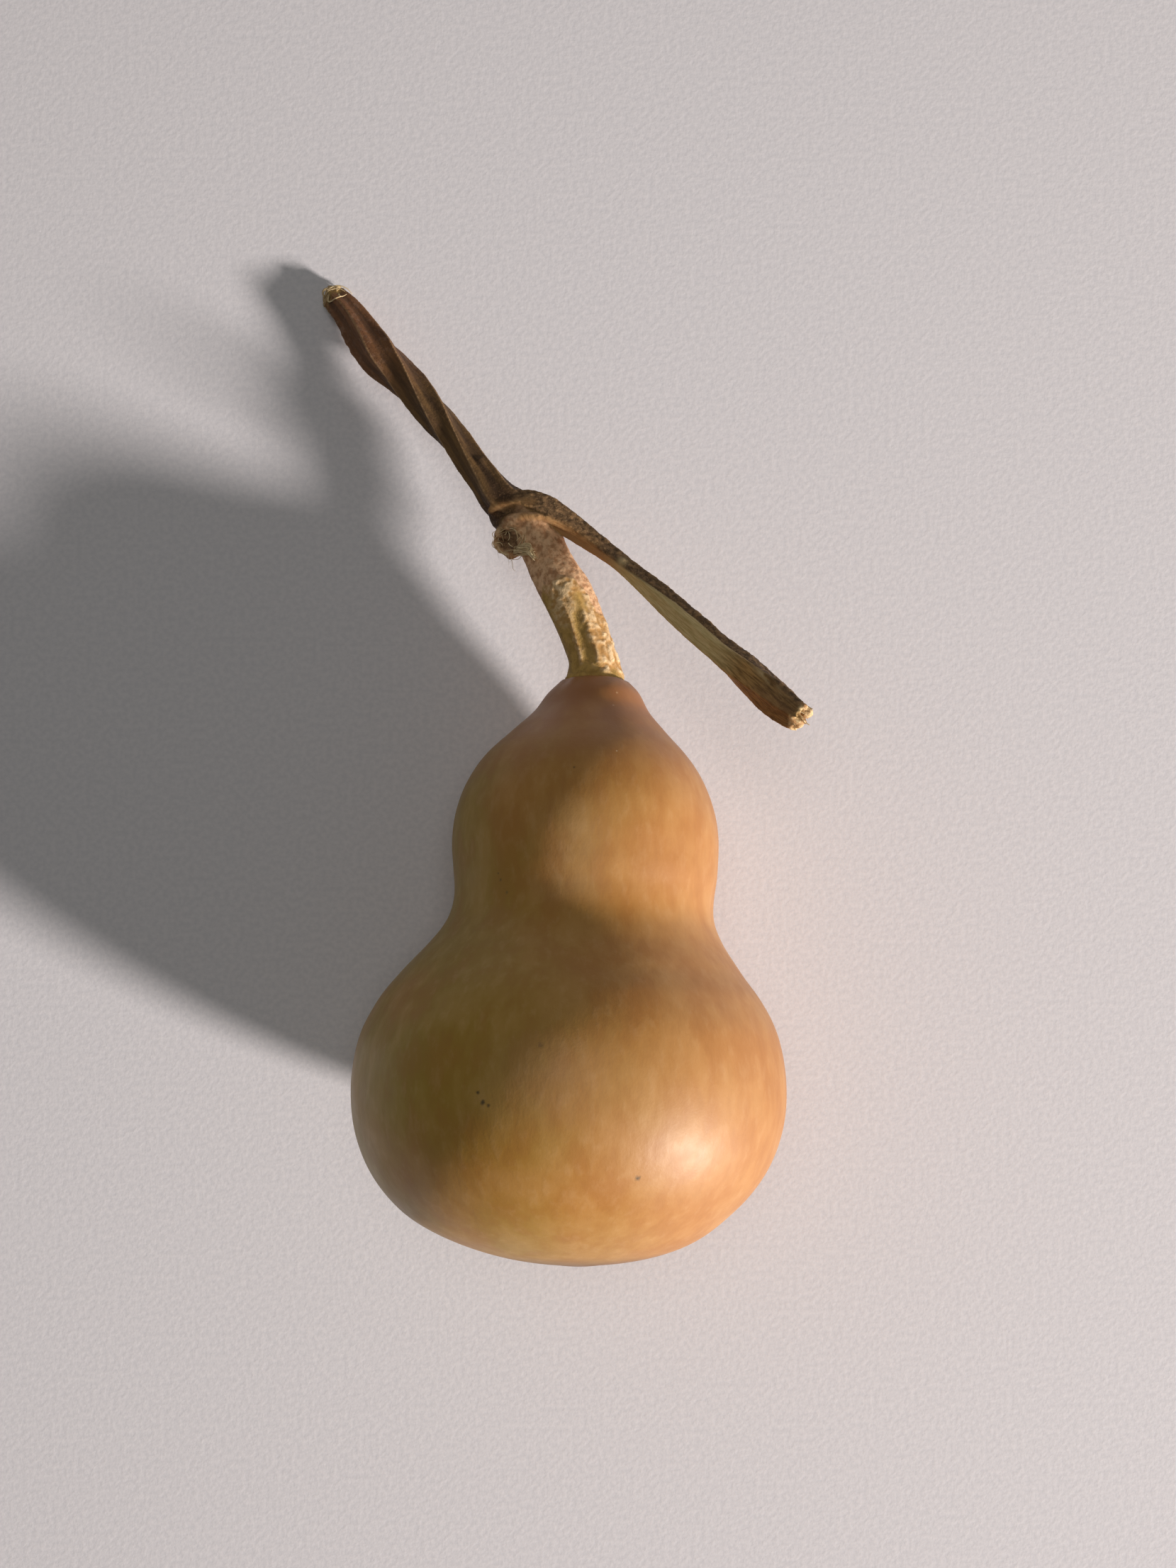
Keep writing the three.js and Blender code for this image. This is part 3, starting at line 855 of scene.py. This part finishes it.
spots = np.clip(spots, stem_low, stem_high)
bark.data.vertices.foreach_set("co", (spots * MM).ravel())
bark.data.shade_smooth()
bark.data.update()
print("relief in mm:", height.min().round(2), "to", height.max().round(2))

# %% [markdown]
# A material can't see how a mesh was made, so each share is stored on the points as an attribute under
# its own name. The colours then change exactly where the relief does.

# %% Stem: attributes for the colours
mouth = to_row(scar_mouth)
from_mouth = spots - mouth
level = from_mouth @ scar_axis
out = np.linalg.norm(from_mouth - level[:, None] * scar_axis, axis=1)
# Painted shade: the scar's hollow mouth is darkened through the hollow share.
hollow_shade = (1 - ease(2.1, 2.7, out)) * (1 - ease(-0.5, 0.2, level)) * (1 - ease(3.0, 4.0, np.abs(level)))
on_rim = hump(out, scar_radius - 0.5, 0.7) * hump(level, 0, 0.5)
stripe = hump(degrees, 30 + 55 * ease(0.82, 1.0, fraction), 24) * ease(0.74, 0.84, fraction)
rust = ease(0.45, 0.8, fraction) * is_left + 0.9 * stripe * is_right
flake_course = hump(degrees, 112, 9) * hump(fraction, 0.88, 0.05) * is_right
flake = flake_course * ease(-0.1, 0.3, cloud(limb_place(2.5), 0.4, 45))
shares = {
    "crest": crest, "cork": cork + 0.8 * edge_lip, "crumbs": crumbs, "stalk": stalk_share,
    "bark_share": bark_share * is_stalk, "smooth_face": smooth_face, "node": node_share, "along": fraction,
    "tip": np.maximum(torn_end, 0.3 * on_rim),
    # The hollow share is painted shade: dark in the scar's hollow, in the groove and in the node's crease.
    "hollow": np.maximum.reduce([0.75 * hollow_shade, 0.7 * line_groove, 0.6 * crease_shade]),
    "rough_bark": is_right * (1 - smooth_face), "ridge": ridge, "grains": grains, "rust": rust,
    "wart": np.maximum.reduce([wart_share, 0.7 * line_lip, 0.8 * flake]),
}
for name, values in shares.items():
    store(bark, name, spread(values, 1))
store(bark, "grain_place", limb_place(1))
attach(bark, "root")
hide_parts("vine_stem")
print("bark attributes:", list(shares))

# %% [markdown]
# Dry cucurbit vine is a fibrous bark, quite matt: paler along the ribs' crests, darker deep between the
# ribs, which is painted shade, and streaked along the grain. The stalk is different: ochre to olive skin
# with cream cork. One graph holds all of it, and the attributes made above say how much of each shows.

# %% Bark material
tree, shader = new_material("dry_vine_bark", bark)
own = {name: add(tree, "Attribute", attribute_name=name).outputs["Fac"] for name in shares}
grain_vector = add(tree, "Attribute", attribute_name="grain_place").outputs["Vector"]
stretched = add(tree, "Mapping", {"Scale": (1, 0.12, 1)}, {"Vector": grain_vector}).outputs[0]
place = add(tree, "TexCoord").outputs["Object"]
fine_streak = noise(0.35, stretched, 5, 0.6)
broad_streak = noise(1.6, stretched, 4, 0.6)
mottle = noise(1.1 * MM, place, 5, 0.65)
dust = noise(0.3 * MM, place, 3, 0.6)
brown = blend(span(broad_streak, 0.3, 0.7), "#563f28", "#7f613a")
brown = blend(own["rust"], brown, blend(span(broad_streak, 0.3, 0.7), "#664329", "#976743"))
brown = blend(span(fine_streak, 0.5, 0.72, 0.0, 0.35), brown, "#957047")
brown = blend(multiply(own["rust"], span(mottle, 0.5, 0.64, 0.0, 0.55)), brown, "#93735f")
brown = blend(span(own["crest"], 0.78, 1.02, 0.0, 0.65), brown, "#cba57c")
# Painted shade: darker deep between the ribs, where the crest share is low.
brown = blend(span(own["crest"], 0.3, 0.06, 0.0, 0.5), brown, "#3d2b1e")
rough_brown = blend(span(own["grains"], 0.2, 0.8), "#654e36", "#a5825c")
rough_brown = blend(span(dust, 0.56, 0.7, 0.0, 0.6), rough_brown, "#c9ab80")
brown = blend(multiply(own["rough_bark"], span(mottle, 0.2, 0.5, 0.5, 1.0)), brown, rough_brown)
pale_face = blend(span(fine_streak, 0.3, 0.72), "#c3aa70", "#ead39d")
pale_face = blend(span(own["along"], 0.42, 0.3), pale_face, "#b98c5e")
end_face = blend(span(fine_streak, 0.35, 0.68), "#775527", "#c4985c")
pale_face = blend(span(own["along"], 0.7, 0.84), pale_face, end_face)
brown = blend(own["smooth_face"], brown, pale_face)
node_brown = blend(span(dust, 0.5, 0.7), "#4c3523", "#84664a")
brown = blend(multiply(own["node"], span(mottle, 0.25, 0.5, 0.7, 1.0)), brown, node_brown)
olive = blend(span(mottle, 0.35, 0.65), "#a88645", "#c7a35d")
cork_colour = blend(span(own["crumbs"], 0.1, 0.8), "#bb8f56", "#f2d4a8")
cork_colour = blend(span(dust, 0.5, 0.3, 0.0, 0.45), cork_colour, "#8f6c38")
olive = blend(own["cork"], olive, cork_colour)
old_bark = blend(span(mottle, 0.35, 0.62), "#b98962", "#ecc299")
old_bark = blend(span(own["grains"], 0.3, 0.0, 0.0, 0.4), old_bark, "#6b4a32")
old_bark = blend(span(own["grains"], 0.75, 1.0, 0.0, 0.7), old_bark, "#e0bf96")
olive = blend(own["bark_share"], olive, old_bark)
olive = blend(own["node"], olive, node_brown)
wood = blend(own["stalk"], brown, olive)
ochre = blend(span(fine_streak, 0.35, 0.7), "#b07f4e", "#d9aa74")
wood = blend(multiply(own["ridge"], span(mottle, 0.2, 0.5, 0.55, 1.0)), wood, ochre)
wood = blend(own["wart"], wood, "#d8be8f")
torn_wood = blend(span(mottle, 0.4, 0.6), "#b98d5e", "#efd3a4")
torn_wood = blend(own["rust"], torn_wood, blend(span(mottle, 0.4, 0.6), "#7d6538", "#b89a60"))
wood = blend(own["tip"], wood, torn_wood)
# Painted shade: the hollow share darkens the scar's hollow, the groove beside the line and the node's crease.
wood = blend(own["hollow"], wood, blend(span(dust, 0.35, 0.65), "#3c2c1d", "#8a6c4a"))
tree.links.new(wood, shader.inputs["Base Color"])
tree.links.new(span(mottle, 0.3, 0.7, 0.68, 0.86), shader.inputs["Roughness"])
shader.inputs["IOR"].default_value = 1.45
roughen(shader, (fine_streak, 0.6, 0.12), (dust, 0.6, 0.14))
print("bark nodes:", len(tree.nodes))

# %% [markdown]
# Where the vine was torn, its fibres stand out of the wood as straw-coloured threads and splinters. A
# thread is a flat tube that tapers to a point. Its middle line leaves the wood along a heading and bends
# by the square of the distance. Round the scar and the left tip, strands of the outer skin have come
# loose and lie in arcs along the rim. All the threads of a bunch are worked out together as one array.

# %% Torn fibres


def bunch(centre, heading, ring, count, length, spread_out, curl, width, seed, inner=0.2, flat=0.5):
    """Threads that leave a torn end: start + L t h + L t^2 b, placed over a disc and curled at random."""
    draw = np.random.default_rng(seed)
    side, up = square_to(heading)
    angle = draw.uniform(0, 2 * math.pi, count)
    away = spokes(side, up, angle)
    starts = centre + away * (ring * draw.uniform(inner, 1, count))[:, None] - 0.6 * heading
    lean = unit(heading + away * (spread_out * draw.normal(0.2, 0.6, count))[:, None])
    bends = curl * draw.normal(0, 1, (count, 3))
    t = np.linspace(0, 1, 9)[None, :, None]
    reach = (length * draw.uniform(0.35, 1, count) + 0.6)[:, None, None]
    paths = starts[:, None] + reach * (t * lean[:, None] + t * t * bends[:, None])
    return list(tube_rows(paths, width * draw.uniform(0.4, 1, count), 6, flat))


def rim_arcs(centre, heading, radius, count, sweep, rise, width, seed, flat=0.6):
    """Strands that lie along a rim: arcs of a circle that lift off it by the sine of their course."""
    draw = np.random.default_rng(seed)
    side, up = square_to(heading)
    t = np.linspace(0, 1, 15)[None, :]
    angle = draw.uniform(0, 2 * math.pi, count)[:, None]
    angle = angle + (sweep * draw.uniform(0.4, 1, count))[:, None] * (t - 0.5)
    lift = np.sin(math.pi * t)
    reach = radius * draw.uniform(0.78, 1.06, count)[:, None]
    reach = reach + 0.35 * lift * draw.normal(0, 1, count)[:, None]
    level = draw.uniform(-0.7, 0.15, count)[:, None] + rise * lift * draw.uniform(0, 1, count)[:, None]
    paths = centre + reach[..., None] * spokes(side, up, angle) + level[..., None] * heading
    return list(tube_rows(paths, width * draw.uniform(0.5, 1, count), 6, flat, taper=0.35, start=0.2))


def relax_line(values):
    """A row of values, each set to the mean of itself and its two neighbours, three times over."""
    for _ in range(3):
        padded = np.concatenate([values[:1], values, values[-1:]])
        values = (padded[:-2] + padded[1:-1] + padded[2:]) / 3
    return values


# Strands that cross the scar's mouth, each as its half width and its points right of and above the
# middle of the mouth, in mm. They are the vessels of the leaf stalk, and frame small pockets that are
# darkened with painted shade.
scar_net = [
    (0.11, [(-2.6, 0.35), (-1.8, 1), (-0.6, 1.45), (0.6, 1.55), (1.5, 1.3)]),
    (0.09, [(-2.7, -0.5), (-2.3, -0.2), (-1.8, -0.1), (-1.4, -0.3), (-1.2, -0.7)]),
    (0.1, [(-2.8, 0.2), (-3, -0.35), (-2.8, -0.8), (-2.3, -0.9)]),
    (0.12, [(1.1, 1.3), (1.3, 0.6), (1.25, -0.25)]),
    (0.08, [(-1.4, 1.05), (-1.2, 0.6), (-1.05, 0)]),
    (0.14, [(0.8, -1.1), (1.6, -0.6), (2.2, 0.25), (2.3, 0.9)]),
    (0.13, [(1.1, -1.3), (2.1, -0.8), (2.6, 0), (2.7, 0.7)]),
    (0.1, [(1.4, -0.9), (1.9, -0.1), (1.9, 0.3)]),
    (0.42, [(0.7, -1.55), (1.6, -1.65), (2.6, -1.9), (3.7, -1.95)]),
    (0.3, [(1.1, -1.2), (2.1, -1.0), (3.0, -1.0), (3.5, -1.4), (3.6, -1.85)]),
    (0.38, [(2.5, -2.1), (3.4, -2.4), (4.1, -3.2)]),
    (0.13, [(-2.1, -1.4), (-1.4, -1.75), (-0.8, -1.5), (0.2, -1.35), (1.4, -1.55)]),
    (0.1, [(-0.85, -1.6), (-0.6, -2), (0.1, -2.15)]),
    (0.09, [(-0.3, -0.2), (0, -0.6), (0.5, -0.9)]),
    (0.07, [(-0.2, 1.4), (0, 0.7), (-0.3, 0.1)]),
    (0.05, [(0.2, -2.4), (0.3, -3.5), (0.4, -4.2), (0.8, -4.6)]),
]


def wood_top_at(place, middle, reach=6.0):
    """The height of the wood's upper face at each place (x, y), or 0 where there is no wood below."""
    beside = 0.35
    near = spots[np.linalg.norm(spots - to_row(middle), axis=1) < reach] + box_middle
    apart = np.linalg.norm(place[:, None] - near[:, :2], axis=2)
    return np.where(apart < beside, near[:, 2], 0).max(1)


# A wide strand is a bundle of threads that drift apart. It lies on the wood, or hangs free past it.
net_draw = np.random.default_rng(58)
course_points = 21
net_rows = []
for width, course in scar_net:
    place = scar_mouth[:2] + smooth_through(np.array(course), course_points)
    level = scar_mouth[2] - (place - scar_mouth[:2]) @ scar_axis[:2] / scar_axis[2] + 1.6 * width
    wood_top = wood_top_at(place, scar_mouth)
    hanging = np.hypot(*(place - scar_mouth[:2]).T) > 1.2 * scar_radius
    level = np.where(hanging & (wood_top == 0), level - 0.4, np.maximum(level, wood_top + 1.4 * width))
    path = np.column_stack([place, relax_line(level)])
    strand_count = max(1, round(60 * width**1.6))
    offsets = net_draw.normal(0, 0.55 * width, (strand_count, 3, 3)) * (strand_count > 1)
    drift = np.stack([smooth_through(offset, course_points) for offset in offsets])
    widths = width * net_draw.uniform(0.25, 0.5, strand_count) if strand_count > 1 else np.array([width])
    net_rows += list(tube_rows(path + drift, widths, 6, 0.7, taper=0.3, start=0.3))

# The left tip's sheath, as pale folded strips across the end, and last a splinter of the right end.
sheath_strips = [
    (0.15, [(-44.9, 84.9, 4.1), (-44.95, 83.6, 4.3), (-43.1, 84.1, 4.6), (-41.8, 84.9, 4.3)]),
    (0.14, [(-43.2, 85, 4.4), (-43, 84.4, 4.7), (-42.4, 84.3, 4.7)]),
    (0.13, [(-46, 84.6, 2.6), (-45.4, 85.9, 3.4), (-43.6, 86.5, 4), (-41.9, 86, 4.1), (-40.9, 85, 4)]),
    (0.1, [(-45.6, 84.9, 3.4), (-44.7, 85.7, 4), (-43.3, 85.9, 4.3), (-42.1, 85.4, 4.3)]),
    (0.12, [(31.1, 9.2, 44.4), (31.5, 8.9, 44.7), (32.1, 8.5, 44.8)]),
]
for width, course in sheath_strips:
    path = smooth_through(course, course_points)
    wood_top = relax_line(wood_top_at(path[:, :2], path[course_points // 2], 4.0))
    path[:, 2] = np.maximum(path[:, 2], wood_top + 0.6 * width)
    net_rows += list(tube_rows(path[None], np.array([width]), 8, 0.6, taper=0.3, start=0.3))
left_rags = [
    *bunch(left_tip, left_end, 1.9, 30, 0.9, 0.7, 0.5, 0.14, 51, inner=0.5),
    *rim_arcs(left_tip, left_end, 2.0, 54, 1.8, 0.9, 0.3, 54, flat=0.25),
]
fibre_rows = [
    *left_rags,
    *bunch(right_tip, right_end, 1.9, 60, 0.5, 0.3, 0.15, 0.2, 52, inner=0.2, flat=0.6),
    *bunch(scar_mouth, scar_axis, 2.7, 14, 0.8, 1.1, 0.9, 0.07, 53, inner=0.8),
    *rim_arcs(scar_mouth, scar_axis, 2.6, 28, 1.4, 0.9, 0.09, 55),
    *net_rows,
]
fibre_points, fibre_faces = joined(fibre_rows)
fibres = new_piece("torn_fibres", np.clip(fibre_points, stem_low, stem_high), fibre_faces)
shade = np.random.default_rng(57).uniform(0.35, 1, len(fibre_rows))
rag_shade = 0.5
shade[:len(left_rags)] *= rag_shade
shade = np.repeat(shade, [rows.shape[0] * rows.shape[1] + 2 for rows in fibre_rows])
store(fibres, "shade", shade)
fibres.data.shade_smooth()
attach(fibres, "root")
print("fibre faces:", len(fibre_faces))

# %% [markdown]
# Torn bast fibre is matt and straw-coloured, from cream to brown. Every thread has one random shade of
# its own, stored as an attribute, so that neighbours can be told apart.

# %% Fibre material
tree, shader = new_material("dry_plant_fibre", fibres)
place = add(tree, "TexCoord").outputs["Object"]
shade_of = add(tree, "Attribute", attribute_name="shade").outputs["Fac"]
straw = blend(shade_of, "#8a6a38", "#fee9bd")
straw = blend(span(noise(0.8 * MM, place, 3), 0.5, 0.7, 0.0, 0.5), straw, "#b49a6c")
tree.links.new(straw, shader.inputs["Base Color"])
shader.inputs["Roughness"].default_value = 0.7
shader.inputs["IOR"].default_value = 1.5
print("fibre nodes:", len(tree.nodes))

# %% [markdown]
# The floor is a plain sheet of pale paper, large enough to fill the picture and to take the shadow.

# %% Floor
floor_half = 900.0
corners = [(x * floor_half, y * floor_half, 0) for x, y in ((-1, -1), (1, -1), (1, 1), (-1, 1))]
floor = new_piece("paper_floor", corners, [(0, 1, 2, 3)])
tree, shader = new_material("pale_paper", floor)
place = add(tree, "TexCoord").outputs["Object"]
tooth = noise(0.9 * MM, place, 4)
tree.links.new(blend(span(tooth, 0.3, 0.7), "#dfe0ea", "#e9e9f2"), shader.inputs["Base Color"])
shader.inputs["Roughness"].default_value = 0.9
roughen(shader, (tooth, 0.35, 0.15))
print("floor nodes:", len(tree.nodes))
